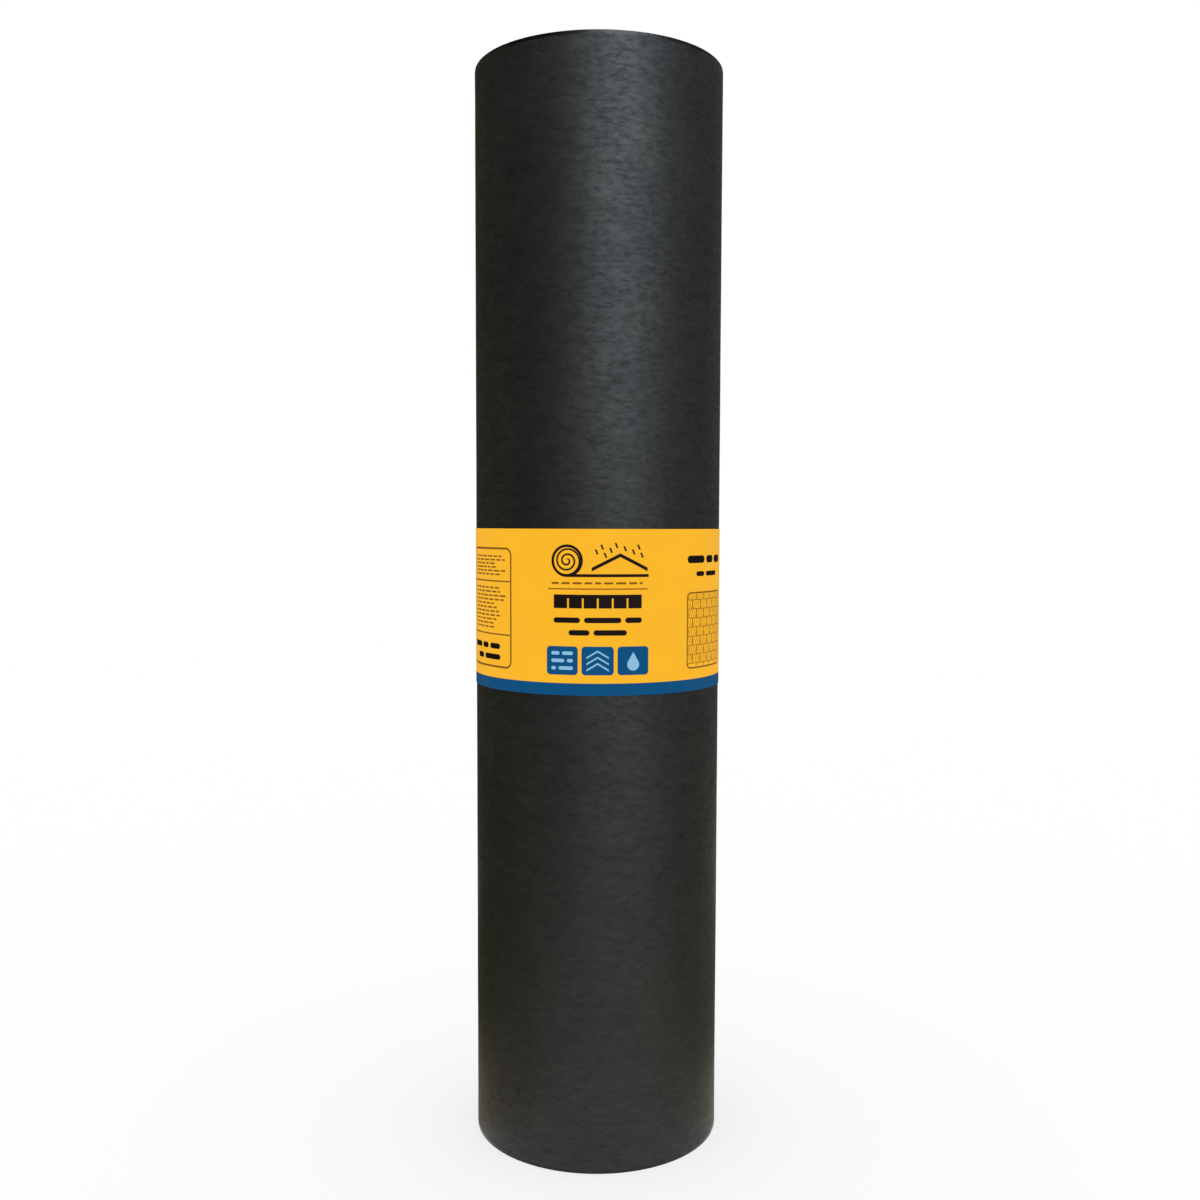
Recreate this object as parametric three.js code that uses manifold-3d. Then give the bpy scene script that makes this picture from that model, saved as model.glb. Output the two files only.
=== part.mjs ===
// A factory roll of saturated roofing felt, stood on its end, with a paper band round its middle.
//
// Two separate pieces are built, each as one closed solid:
//   felt_roll   the one long sheet, wound on itself and drawn off its mandrel, so its bore is empty
//   paper_band  the paper sleeve, taut round the roll and glued to itself where its ends lap
//
// Millimetres, +Z up. The origin is on the roll's axis, in the plane of the end that it stands on.
// Turn angles are in degrees from the front (-Y), growing towards +X, anticlockwise from above.
// A spiral here runs inwards as its angle grows.

import * as THREE from 'three';
import { mergeVertices } from 'three/addons/utils/BufferGeometryUtils.js';
import Module from 'manifold-3d';

// The sheet and its roll
const SHEET_WIDTH = 914.4; // 36 inches: the height of the standing roll
const SHEET_LENGTH = 21945.6; // 72 feet, enough for two squares of roof
const ROLL_DIAMETER = 213; // across the sheet's outer edge
const BORE_DIAMETER = 76; // left by the mandrel
const OUTER_EDGE_ANGLE = 204; // where the sheet's outer edge lies, behind the roll

// The turns, as they part on both ends
const TURNS_TOGETHER = 6; // turns that lie tight on each other, from one open gap to the next
const GAP_WIDTH = 1.2;
const GAP_DEPTH = 3;

// The paper band
const BAND_HEIGHT = 133.35; // 5 1/4 inches
const BAND_RISE = 4.2; // from the roll's mid-height up to the band's
const BAND_PAPER = 0.25; // one thickness of the paper
const BAND_CLEARANCE = 0.3; // between the paper and the felt
const LAP_ANGLE = 150; // the middle of the glued lap
const LAP_WIDTH = 32; // of the lap, measured round the roll
const LAP_RAMP = 5; // over which the upper paper comes down off the end of the lower one

const FACETS = 60; // flats in one turn, the same on the roll and the band, so that they stay clear
const CUT_OVERSHOOT = 1; // how far a cutting solid runs past the face that it cuts

const FELT_COLOR = 0x3a3a38;
const PAPER_COLOR = 0xfdb82b;

const rollRadius = ROLL_DIAMETER / 2;
const boreRadius = BORE_DIAMETER / 2;
const facetAngle = 360 / FACETS;

// One turn's share of the wall: the sheet's thickness with the air wound in beside it
const pitch = (Math.PI * (rollRadius ** 2 - boreRadius ** 2)) / SHEET_LENGTH;

// The turns from the sheet's outer edge to its inner one, which they leave at this angle in the bore
const turnCount = (rollRadius - boreRadius) / pitch - 1;
const innerEdgeAngle = OUTER_EDGE_ANGLE + 360 * turnCount;

/** The point at a turn angle and a radius, seen from above. */
function polar(angle, radius) {
  const turn = THREE.MathUtils.degToRad(angle);
  return new THREE.Vector2(radius * Math.sin(turn), -radius * Math.cos(turn));
}

/** A spiral's points from an angle and a radius, through some turns, falling by `fall` in each. */
function spiral(angle, radius, fall, turns = 1) {
  const points = [];
  for (let i = 0; i <= turns * FACETS; i++) {
    points.push(polar(angle + i * facetAngle, radius - (fall * i) / FACETS));
  }
  return points;
}

/** Extrudes an outline, with the holes in it, from one height up to another. */
function prism(outline, holes, from, to) {
  const shape = new THREE.Shape(outline);
  shape.holes = holes.map((hole) => new THREE.Path(hole));
  const options = { depth: to - from, bevelEnabled: false };
  return new THREE.ExtrudeGeometry(shape, options).translate(0, 0, from);
}

const wasm = await Module();
wasm.setup();

/** The solid inside a closed geometry. */
function toSolid(geometry) {
  geometry.deleteAttribute('normal');
  geometry.deleteAttribute('uv');
  const merged = mergeVertices(geometry);
  return new wasm.Manifold(
    new wasm.Mesh({
      numProp: 3,
      vertProperties: merged.attributes.position.array,
      triVerts: merged.index.array,
    }),
  );
}

/** The geometry of a solid. */
function toGeometry(solid) {
  const { vertProperties, triVerts } = solid.getMesh();
  const geometry = new THREE.BufferGeometry();
  geometry.setAttribute('position', new THREE.BufferAttribute(vertProperties, 3));
  geometry.setIndex(new THREE.BufferAttribute(triVerts, 1));
  geometry.computeVertexNormals();
  return geometry;
}

/** The open gap between groups of turns, seen from above: a thin spiral strip. */
function gapOutline() {
  const fall = pitch * TURNS_TOGETHER;
  const start = rollRadius - fall;
  const turns = (start - boreRadius) / fall - 1;
  const outerSide = spiral(OUTER_EDGE_ANGLE, start + GAP_WIDTH / 2, fall, turns);
  const innerSide = spiral(OUTER_EDGE_ANGLE, start - GAP_WIDTH / 2, fall, turns);
  return [...outerSide, ...innerSide.reverse()];
}

/** The wound sheet: one turn of spiral outside and one in the bore, and its turns on both ends. */
function feltRoll() {
  const outside = spiral(OUTER_EDGE_ANGLE, rollRadius, pitch);
  const bore = spiral(innerEdgeAngle, boreRadius + pitch, pitch);
  const gap = gapOutline();
  const footGap = prism(gap, [], -CUT_OVERSHOOT, GAP_DEPTH);
  const topGap = prism(gap, [], SHEET_WIDTH - GAP_DEPTH, SHEET_WIDTH + CUT_OVERSHOOT);
  const wound = toSolid(prism(outside, [bore], 0, SHEET_WIDTH));
  return toGeometry(wound.subtract(toSolid(footGap)).subtract(toSolid(topGap)));
}

/** The radius of the band's inner face at one of its corners, counted from the sheet's edge. */
const bandCorner = (i) => rollRadius - (pitch * (i % FACETS)) / FACETS + BAND_CLEARANCE;

/** The radius of the band's inner face at any angle behind the sheet's edge, on its flats too. */
function bandRadius(behind) {
  const i = Math.floor(behind / facetAngle);
  const past = THREE.MathUtils.degToRad(behind - i * facetAngle);
  const left = THREE.MathUtils.degToRad((i + 1) * facetAngle - behind);
  const [near, far] = [bandCorner(i), bandCorner(i + 1)];
  return (near * far * Math.sin(past + left)) / (near * Math.sin(past) + far * Math.sin(left));
}

/** The band's outer face: one paper thick, two at the lap, with a step at the upper paper's edge. */
function bandOutside() {
  const degrees = (width) => THREE.MathUtils.radToDeg(width / rollRadius);
  const lapFrom = THREE.MathUtils.euclideanModulo(
    LAP_ANGLE - degrees(LAP_WIDTH / 2) - OUTER_EDGE_ANGLE,
    360,
  );
  const lapTo = lapFrom + degrees(LAP_WIDTH);
  const rampTo = lapTo + degrees(LAP_RAMP);
  const corners = [
    { behind: lapFrom, papers: 1 },
    { behind: lapFrom, papers: 2 },
    { behind: lapTo, papers: 2 },
    { behind: rampTo, papers: 1 },
  ];
  for (let i = 0; i < FACETS; i++) {
    const behind = i * facetAngle;
    const doubled = behind > lapFrom && behind < lapTo;
    const ramped = behind >= lapTo && behind <= rampTo;
    if (!ramped && behind !== lapFrom) corners.push({ behind, papers: doubled ? 2 : 1 });
  }
  corners.sort((a, b) => a.behind - b.behind);
  return corners.map(({ behind, papers }) =>
    polar(OUTER_EDGE_ANGLE + behind, bandRadius(behind) + papers * BAND_PAPER),
  );
}

/** The paper sleeve, following the roll a running gap away and bridging the sheet's edge. */
function paperBand() {
  const inside = [];
  for (let i = 0; i < FACETS; i++) {
    inside.push(polar(OUTER_EDGE_ANGLE + i * facetAngle, bandCorner(i)));
  }
  const foot = SHEET_WIDTH / 2 + BAND_RISE - BAND_HEIGHT / 2;
  return prism(bandOutside(), [inside], foot, foot + BAND_HEIGHT);
}

/** A piece of the part under its own name. */
function piece(name, geometry, color, roughness) {
  const material = new THREE.MeshStandardMaterial({ color, roughness, metalness: 0 });
  const mesh = new THREE.Mesh(geometry, material);
  mesh.name = name;
  return mesh;
}

const part = new THREE.Group();
part.add(
  piece('felt_roll', feltRoll(), FELT_COLOR, 0.8),
  piece('paper_band', paperBand(), PAPER_COLOR, 0.7),
);

export default part;
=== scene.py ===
# %% [markdown]
# # A roll of roofing felt
#
# Heavy roofing felt is one long sheet of paper felt soaked in bitumen. The mill winds it on a
# mandrel, draws the mandrel out, and glues a printed paper band round the middle to hold the roll
# shut. So there are only two things to make, the wound sheet and its band, and all of the look is in
# how the sheet is wound, in its dull creped surface and in the print.
#
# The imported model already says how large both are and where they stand. It is loaded first, and every
# size below is read from it or is a real size of the felt or the paper. Shapes are in metres, and
# patterns are in millimetres.

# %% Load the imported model
import math

import bpy
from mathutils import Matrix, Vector, noise


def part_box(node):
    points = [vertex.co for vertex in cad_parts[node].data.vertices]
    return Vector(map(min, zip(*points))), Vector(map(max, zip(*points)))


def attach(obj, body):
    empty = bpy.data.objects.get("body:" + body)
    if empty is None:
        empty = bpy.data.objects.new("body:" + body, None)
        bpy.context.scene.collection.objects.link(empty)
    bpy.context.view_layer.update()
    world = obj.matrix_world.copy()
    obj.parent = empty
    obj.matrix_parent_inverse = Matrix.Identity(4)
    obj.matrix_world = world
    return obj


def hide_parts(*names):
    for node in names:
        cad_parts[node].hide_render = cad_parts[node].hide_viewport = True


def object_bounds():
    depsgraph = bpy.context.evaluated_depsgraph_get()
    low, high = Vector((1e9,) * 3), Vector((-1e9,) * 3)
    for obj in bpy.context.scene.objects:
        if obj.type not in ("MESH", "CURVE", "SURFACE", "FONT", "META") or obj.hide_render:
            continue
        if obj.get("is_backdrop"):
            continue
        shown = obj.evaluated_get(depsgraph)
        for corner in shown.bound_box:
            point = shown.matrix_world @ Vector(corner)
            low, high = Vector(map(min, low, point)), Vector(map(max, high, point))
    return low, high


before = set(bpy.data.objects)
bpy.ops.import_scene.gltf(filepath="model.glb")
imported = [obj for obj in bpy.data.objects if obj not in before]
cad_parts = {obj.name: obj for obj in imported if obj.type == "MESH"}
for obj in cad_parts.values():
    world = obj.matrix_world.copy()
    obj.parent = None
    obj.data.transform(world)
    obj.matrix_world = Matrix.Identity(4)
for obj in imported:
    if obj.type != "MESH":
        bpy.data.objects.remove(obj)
cad_low, cad_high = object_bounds()
MM = 0.001
print("nodes:", sorted(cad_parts))

# %% [markdown]
# ## What the frame says about the winding
#
# Seen from above the sheet is a spiral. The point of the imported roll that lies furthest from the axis
# is the sheet's outer edge, and the point that lies nearest to it, in the bore, is its inner edge. The
# sheet's real length then gives the room that one turn takes, because the ring between the two radii
# is filled by the sheet seen edge-on.

# %% Measure the winding
SHEET_LENGTH = 21.9456

roll_points = [vertex.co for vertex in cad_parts["felt_roll"].data.vertices]
outer_point = max(roll_points, key=lambda point: point.xy.length)
inner_point = min(roll_points, key=lambda point: point.xy.length)
roll_radius = outer_point.xy.length
bore_radius = inner_point.xy.length
outer_edge_angle = math.atan2(outer_point.y, outer_point.x)

sheet_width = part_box("felt_roll")[1].z
pitch = math.pi * (roll_radius**2 - bore_radius**2) / SHEET_LENGTH
turn_count = (roll_radius - bore_radius) / pitch - 1
print(f"one turn takes {pitch / MM:.3f} mm, and there are {turn_count:.2f} turns")

# %% [markdown]
# ## Modelling by hand, in code
#
# Operators act on what is active and selected, so two small helpers do what a hand does with the
# mouse: one clicks an object and nothing else, the other goes into edit mode with some elements
# picked by place.

# %% Helpers for picking things
MODES = {
    "vertices": (True, False, False),
    "edges": (False, True, False),
    "polygons": (False, False, True),
}


def click(piece):
    """Makes a piece the only selected one, and the active one."""
    bpy.ops.object.select_all(action="DESELECT")
    piece.select_set(True)
    bpy.context.view_layer.objects.active = piece


def edit(piece, kind="vertices", wanted=lambda element: True):
    """Goes into edit mode with the wanted elements of one kind selected, and returns how many."""
    click(piece)
    bpy.context.tool_settings.mesh_select_mode = MODES[kind]
    for collection in MODES:
        for element in getattr(piece.data, collection):
            element.select = False
    chosen = [element for element in getattr(piece.data, kind) if wanted(element)]
    for element in chosen:
        element.select = True
    bpy.ops.object.mode_set(mode="EDIT")
    return len(chosen)


# %% Helpers for what comes after


def leave():
    """Goes back to object mode."""
    bpy.ops.object.mode_set(mode="OBJECT")


def settle(piece):
    """Applies a piece's place, turn and size to its mesh, so that its object sits at the origin."""
    click(piece)
    bpy.ops.object.transform_apply(location=True, rotation=True, scale=True)


def finish_modifier(piece, kind, **settings):
    """Adds a modifier with its settings and applies it."""
    click(piece)
    bpy.ops.object.modifier_add(type=kind)
    modifier = piece.modifiers[-1]
    for name, value in settings.items():
        setattr(modifier, name, value)
    bpy.ops.object.modifier_apply(modifier=modifier.name)


# %% [markdown]
# ## The turns on the roll's end
#
# On the end of the roll each turn shows as the cut edge of the sheet, a little narrower than its
# share of the wall, so that a fine groove runs between the turns. The end could be a flat disc with
# rings painted on it, but a light that grazes it would show the trick, so the turns are real.
#
# The outline of one turn is a plane, one pitch wide and as deep as the groove, stood upright at the
# sheet's outer edge. Its top is drawn in, its upper corners are bevelled, and its lower side is taken
# away to open it. An Array modifier then sets the same outline beside itself, one for each turn.

# %% A section to spin


def stand_section(name, width, height, middle):
    """Adds an upright plane over the X axis: the section of a round thing, on one side of its axis."""
    bpy.ops.object.select_all(action="DESELECT")
    bpy.ops.mesh.primitive_plane_add(size=1, location=middle, rotation=(math.pi / 2, 0, 0))
    section = bpy.context.object
    section.name = name
    section.data.name = name
    section.scale = (width, height, 1)
    settle(section)
    return section


# %% One turn's outline, repeated for all turns
GROOVE_DEPTH = 1.1 * MM
EDGE_SHARE = 0.8  # of the pitch, that the cut edge fills
EDGE_ROUNDING = 0.28 * MM
TOUCHING = 0.01 * MM  # points that lie nearer to each other than this become one

half_width = sheet_width / 2
turn_middle = roll_radius - pitch / 2
outline_middle = half_width - GROOVE_DEPTH / 2
roll = stand_section("wound_felt", pitch, GROOVE_DEPTH, (turn_middle, 0, outline_middle))

edit(roll, "vertices", lambda vertex: vertex.co.z > outline_middle)
bpy.ops.transform.resize(value=(EDGE_SHARE, 1, 1), center_override=(turn_middle, 0, half_width))
bpy.ops.mesh.bevel(offset=EDGE_ROUNDING, offset_type="WIDTH", segments=1, affect="VERTICES")
leave()
edit(roll, "edges", lambda side: all(roll.data.vertices[i].co.z < outline_middle for i in side.vertices))
bpy.ops.mesh.delete(type="EDGE_FACE")
leave()
finish_modifier(
    roll,
    "ARRAY",
    count=math.ceil(turn_count),
    use_relative_offset=False,
    use_constant_offset=True,
    constant_offset_displace=(-pitch, 0, 0),
    use_merge_vertices=True,
    merge_threshold=TOUCHING,
)
print(f"{len(roll.data.edges)} sides in one outline of {math.ceil(turn_count)} turns")

# %% [markdown]
# The screw tool could wind one outline through all the turns, but it slows down with every step, and
# there would be nearly six thousand. Spinning the whole outline once round the axis is quick, and gives
# closed rings. To make a spiral of them, each column of points moves inwards by its share of a pitch:
# nothing at the start, and one pitch after the full turn, where every ring then meets the next one.

# %% Spin the rings and turn them into a spiral
RING_STEPS = 120


def spin(piece, steps, start, turn):
    """Spins a section round the roll's axis, anticlockwise from above, from a start through a turn."""
    edit(piece)
    bpy.ops.mesh.spin(steps=steps, angle=-turn, center=(0, 0, 0), axis=(0, 0, 1), use_auto_merge=False)
    leave()
    piece.rotation_euler.z = start
    settle(piece)


outline_points = len(roll.data.vertices)
spin(roll, RING_STEPS, outer_edge_angle, math.tau)
for vertex in roll.data.vertices:
    share = (vertex.index // outline_points) / RING_STEPS
    vertex.co.xy *= 1 - pitch * share / vertex.co.xy.length
edit(roll)
bpy.ops.mesh.remove_doubles(threshold=TOUCHING)
leave()
print(f"{len(roll.data.polygons)} faces on the spiral")

# %% [markdown]
# The real number of turns isn't whole, so the last one is cut off where the sheet's inner edge lies.
# A point's place along the winding follows from where it is: how far round it lies behind the outer
# edge gives the part of a turn, and how far in it lies gives the whole turns.

# %% Cut the last turn at the sheet's inner edge


def winding(point):
    """The part of a turn that a point lies behind the outer edge, and the turns that lie outside it."""
    behind = (math.atan2(point.y, point.x) - outer_edge_angle) / math.tau % 1
    return behind, (roll_radius - point.xy.length) / pitch - behind


def is_past_inner_edge(face):
    """Whether a face lies beyond the sheet's inner edge."""
    behind, outside = winding(face.center)
    return math.floor(outside) + behind > turn_count


print(edit(roll, "polygons", is_past_inner_edge), "faces lie past the inner edge")
bpy.ops.mesh.delete(type="FACE")
leave()

# %% [markdown]
# ## The walls
#
# The open border of that spiral runs once round the outside, once round the bore, and across the
# sheet at both of its ends. Pulled straight down and flattened it gives all the upright faces in one
# move, the two steps at the sheet's ends among them. They stop at half the roll's height, because a
# mirror then makes the lower half.

# %% Draw the walls down and mirror them
WALL_ROWS = 18  # in half the height

outer_turn = roll_radius - 1.01 * pitch  # just nearer to the axis than all of the outermost turn
edit(roll)
bpy.ops.mesh.select_all(action="DESELECT")
bpy.ops.mesh.select_non_manifold(extend=False, use_wire=False, use_multi_face=False, use_verts=False)
bpy.ops.mesh.extrude_edges_move(TRANSFORM_OT_translate={"value": (0, 0, -half_width / 2)})
bpy.ops.transform.resize(value=(1, 1, 0), center_override=(0, 0, 0))
leave()


def is_outer_upright(side):
    """Whether an edge stands upright in the outermost turn's wall."""
    foot, head = (roll.data.vertices[i].co for i in side.vertices)
    upright = (foot.xy - head.xy).length < TOUCHING and abs(foot.z - head.z) > half_width / 2
    return upright and foot.xy.length > outer_turn


def face_outwards(piece):
    """Makes all faces of a closed piece point outwards."""
    edit(piece)
    bpy.ops.mesh.normals_make_consistent(inside=False)
    leave()


edit(roll, "edges", is_outer_upright)
bpy.ops.mesh.subdivide(number_cuts=WALL_ROWS - 1)
leave()
finish_modifier(roll, "MIRROR", use_axis=(False, False, True), merge_threshold=TOUCHING)
face_outwards(roll)
roll.location.z = half_width
settle(roll)
print(f"{len(roll.data.polygons)} faces round the whole sheet")

# %% [markdown]
# ## What the winding did to the ends
#
# No machine lays fifty turns perfectly level. The web wanders a little while it runs, so on one end
# the turns stand at slightly different heights, and in places the winding slackens and leaves a thin
# crescent open between two turns. Both depend on where a point lies along the wound sheet: t is the
# number of turns between it and the outer edge. So the end is shaped by moving points, as a sculptor
# would, with one rule for all of them.
#
# The slipping is a slow noise along the sheet with a little of a quick one. A gap is given by the
# whole turns that lie outside it and by the part of a turn where it is widest, and the turns between
# two gaps share what they need. The foot was tapped flat on the floor, so only its gaps are opened.

# %% How far the turns slip
SLIP = 2.4 * MM  # at most
LEVEL_TURNS = 0.9  # turns from the outside, that stay level with the end
SLIP_START = 1.6  # turns after those, over which the slipping sets in
SLOW_WAVES = 0.31  # in one turn
QUICK_WAVES = 1.9


def clamp(number):
    """A number, kept between 0 and 1."""
    return min(max(number, 0), 1)


def slip(t):
    """How far the sheet's top edge lies below the end plane, t turns in from its outer edge."""
    settled = clamp((t - LEVEL_TURNS) / SLIP_START)
    slow = noise.noise(Vector((SLOW_WAVES * t, 4.7, 0)))
    quick = noise.noise(Vector((QUICK_WAVES * t, 0, 8.1)))
    return SLIP * settled**2 * (3 - 2 * settled) * clamp(0.5 + 0.62 * slow + 0.1 * quick)


lowest = max(slip(n / 20) for n in range(int(20 * turn_count)))
print(f"the turns slip by up to {lowest / MM:.1f} mm")

# %% Where the gaps open
GAP_MIDDLES = {5: 0.42, 12: 0.6, 18: 0.38, 24: 0.55, 31: 0.46, 38: 0.62, 43: 0.5}
GAP_REACH = 0.36  # of a turn, to either side of a gap's middle
GAP_WIDTH = 0.9 * MM
GAP_DEPTH = 3 * MM
GAP_SETTLING = 6  # turns, over which the winding inside the last gap is back in its place


def gaping(gap, behind):
    """How far a gap is open at a part of a turn: 1 in its middle and 0 where it has closed."""
    return max(1 - ((behind - GAP_MIDDLES[gap]) / GAP_REACH) ** 2, 0) if gap in GAP_MIDDLES else 0


def gap_shift(k, behind):
    """How far a point moves inwards to leave the gaps open, k turns in from the outside."""
    outer = max((gap for gap in GAP_MIDDLES if gap <= k), default=0)
    inner = min((gap for gap in GAP_MIDDLES if gap > k), default=outer + GAP_SETTLING)
    along = min((k - outer) / (inner - outer), 1)
    return GAP_WIDTH / 2 * (gaping(outer, behind) * (1 - along) - gaping(inner, behind) * along)


print(len(GAP_MIDDLES), "gaps on each end")

# %% Shape both ends
GROOVE_SHARE = 0.04  # of a pitch, that a groove's bottom stays within

end_depth = GROOVE_DEPTH + TOUCHING
moved = 0
for vertex in roll.data.vertices:
    at_top = vertex.co.z > sheet_width - end_depth
    if not at_top and vertex.co.z > end_depth:
        continue
    moved += 1
    behind, k = winding(vertex.co)
    border = round(k)
    in_groove = abs(k - border) < GROOVE_SHARE
    if in_groove:
        drop = (slip(border - 1 + behind) + slip(border + behind)) / 2
        vertex.co.z += (GROOVE_DEPTH - GAP_DEPTH) * gaping(border, behind) * (1 if at_top else -1)
    else:
        drop = slip(math.floor(k) + behind)
        vertex.co.xy *= 1 - gap_shift(k, behind) / vertex.co.xy.length
    if at_top and not (in_groove and border < 1):
        vertex.co.z -= drop
roll.data.update()
print(moved, "points of the ends are in their places")

# %% [markdown]
# The outer wall isn't a perfect cylinder either. Soft felt takes the marks of the forks and straps
# that carried it, as shallow hollows a hand wide. A Displace modifier presses them in with a cloud
# texture. It only presses inwards, a quarter of a millimetre at most, so that the band keeps its room.

# %% Press shallow hollows into the wall
HOLLOW_DEPTH = 0.25 * MM
HOLLOW_SIZE = 90 * MM
SHARP_ANGLE = math.radians(35)  # between faces, above which an edge stays sharp

clouds = bpy.data.textures.new("hollows", "CLOUDS")
clouds.noise_scale = HOLLOW_SIZE
clouds.noise_depth = 1


def is_in_wall(point):
    """Whether a point lies in the outer wall, and not on a rim."""
    return point.xy.length > outer_turn and end_depth < point.z < sheet_width - end_depth


def reach(piece):
    """How far a piece reaches along each axis, in millimetres."""
    return [(round(min(along) / MM, 2), round(max(along) / MM, 2)) for along in zip(*piece.bound_box)]


wall = roll.vertex_groups.new(name="wall")
wall.add([vertex.index for vertex in roll.data.vertices if is_in_wall(vertex.co)], 1, "REPLACE")
finish_modifier(
    roll,
    "DISPLACE",
    texture=clouds,
    texture_coords="LOCAL",
    vertex_group="wall",
    mid_level=1,
    strength=HOLLOW_DEPTH,
)
click(roll)
bpy.ops.object.shade_smooth_by_angle(angle=SHARP_ANGLE)
print("roll:", reach(roll))

# %% [markdown]
# ## The paper band
#
# The band is one strip of printed paper, drawn tight round the roll and glued to itself where its
# ends lap behind it. A plain sleeve would have no lap, so the strip is wound like the real one: its
# end is a tall thin rectangle, stood against the roll and cut into rows. Spun by a full turn and the
# lap, it goes round and under its own beginning.
#
# Taut paper lies on the sheet, and where the sheet's outer edge makes a step it runs straight up to
# that edge. Each column of points is set to the radius that this gives.

# %% Wind the paper strip
PAPER = 0.25 * MM
PAPER_CLEARANCE = 0.12 * MM
LAP_WIDTH = 32 * MM
LAP_RAMP = 6 * MM  # over which the upper paper comes down off the end of the lower one
LAP_MIDDLE = math.radians(150 - 90)  # 150 degrees from the front, counted from +X
PAPER_ROWS = 10
PAPER_STEPS = 132

band_low, band_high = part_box("paper_band")
band_foot, band_height = band_low.z, band_high.z - band_low.z
lap_turn = LAP_WIDTH / roll_radius
ramp_turn = LAP_RAMP / roll_radius
strip_start = LAP_MIDDLE - lap_turn / 2
strip_turn = math.tau + lap_turn
section_middle = (roll_radius + PAPER / 2, 0, band_foot + band_height / 2)
band = stand_section("printed_band", PAPER, band_height, section_middle)


def is_upright(side):
    """Whether an edge of the strip's end stands upright."""
    foot, head = (band.data.vertices[i].co for i in side.vertices)
    return abs(foot.z - head.z) > band_height / 2


edit(band)
bpy.ops.mesh.delete(type="ONLY_FACE")
leave()
edit(band, "edges", is_upright)
bpy.ops.mesh.subdivide(number_cuts=PAPER_ROWS - 1)
leave()
strip_points = len(band.data.vertices)
spin(band, PAPER_STEPS, strip_start, strip_turn)
print(f"{len(band.data.polygons)} faces along the strip")

# %% Draw it tight
bridge_turn = math.acos(1 - pitch / roll_radius)  # over which the paper clears the step at the sheet's edge
column_turn = strip_turn / PAPER_STEPS


def taut_radius(angle):
    """The radius of the taut paper's inner face, on the sheet or on its way up to the sheet's edge."""
    behind = (angle - outer_edge_angle) / math.tau % 1
    before = math.tau * (1 - behind)
    sheet = roll_radius - pitch * behind
    if before < bridge_turn:
        sheet = max(sheet, (roll_radius - pitch) / math.cos(bridge_turn - before))
    return sheet + PAPER_CLEARANCE


def papers_below(turned):
    """How many papers lie under the strip, a turn along from its outer end: one in the lap, then none."""
    return clamp((lap_turn + ramp_turn - turned) / ramp_turn)


for vertex in band.data.vertices:
    turned = vertex.index // strip_points * column_turn
    off_face = vertex.co.xy.length - roll_radius
    radius = taut_radius(strip_start + turned) + papers_below(turned) * PAPER + off_face
    vertex.co.xy *= radius / vertex.co.xy.length
edge = [vertex.co.xy for vertex in list(band.data.vertices)[::strip_points]]
print(f"the strip is {sum(map(math.dist, edge, edge[1:])) / MM:.0f} mm long")

# %% [markdown]
# The ends of the strip are still open. Both are closed with a face, and the paper's printing is laid
# along it: a UV map named Print gives every point its place on the flat paper in metres, counted
# from the middle of the front and from the lower edge. The point's column says how far along it is,
# which stays clear where the paper lies on itself.

# %% Close the strip and lay the printing on it
FRONT = math.radians(270)  # from +X

for end_column in (0, PAPER_STEPS):
    edit(band, "vertices", lambda vertex: vertex.index // strip_points == end_column)
    bpy.ops.mesh.edge_face_add()
    leave()
face_outwards(band)

printing = band.data.uv_layers[0]
printing.name = "Print"
for loop in band.data.loops:
    vertex = band.data.vertices[loop.vertex_index]
    turned = vertex.index // strip_points * column_turn
    along = (strip_start + turned - FRONT) * roll_radius
    printing.data[loop.index].uv = (along, vertex.co.z - band_foot)
click(band)
bpy.ops.object.shade_smooth_by_angle(angle=SHARP_ANGLE)
print("band:", reach(band))

# %% [markdown]
# ## A layout for each piece's own maps
#
# If the materials are baked to pictures, a layout of the faces decides how sharp each place comes
# out. The band's front gets half of its picture. The rest of the strip is stacked in two rows below,
# and the inner face, which nobody sees, gets a sliver between them.

# %% Lay out the band for baking
FULL = (0.005, 0.995)  # the whole picture, less a thin border
FRONT_ROW = (math.radians(206), math.radians(334))  # the angles where it begins and ends
STRIP_ROWS = {  # the angles that a row holds, and its place up the picture
    "before": ((strip_start, FRONT_ROW[0]), (0.262, 0.495)),
    "front": (FRONT_ROW, (0.505, 0.995)),
    "after": ((FRONT_ROW[1], strip_start + strip_turn), (0.005, 0.238)),
}
SLIVER = (0.245, 0.255)


def between(span, share):
    """The place at a share of the way from one end of a span to the other."""
    low, high = span
    return low + (high - low) * share


band_layout = band.data.uv_layers.new(name="OFBake")
for face in band.data.polygons:
    columns = [i // strip_points for i in face.vertices]
    middle = strip_start + column_turn * sum(columns) / len(columns)
    row = "before" if middle < FRONT_ROW[0] else "front" if middle < FRONT_ROW[1] else "after"
    (begin, end), row_height = STRIP_ROWS[row]
    if face.normal.xy.dot(face.center.xy) < 0:
        row_height = SLIVER
    for loop, i, column in zip(face.loop_indices, face.vertices, columns):
        across = (strip_start + column_turn * column - begin) / (end - begin)
        up = (band.data.vertices[i].co.z - band_foot) / band_height
        band_layout.data[loop].uv = (between(FULL, across), between(row_height, up))
print(len(STRIP_ROWS), "rows for the outer face")

# %% [markdown]
# The roll's outer wall takes three quarters of its picture, unrolled like a label from a can. Both
# ends, looked at straight on, and the bore's wall share the last quarter. The two upright edges of
# the sheet get narrow strips in between.

# %% The parts of the sheet's surface
end_reach = GAP_DEPTH + SLIP


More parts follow.
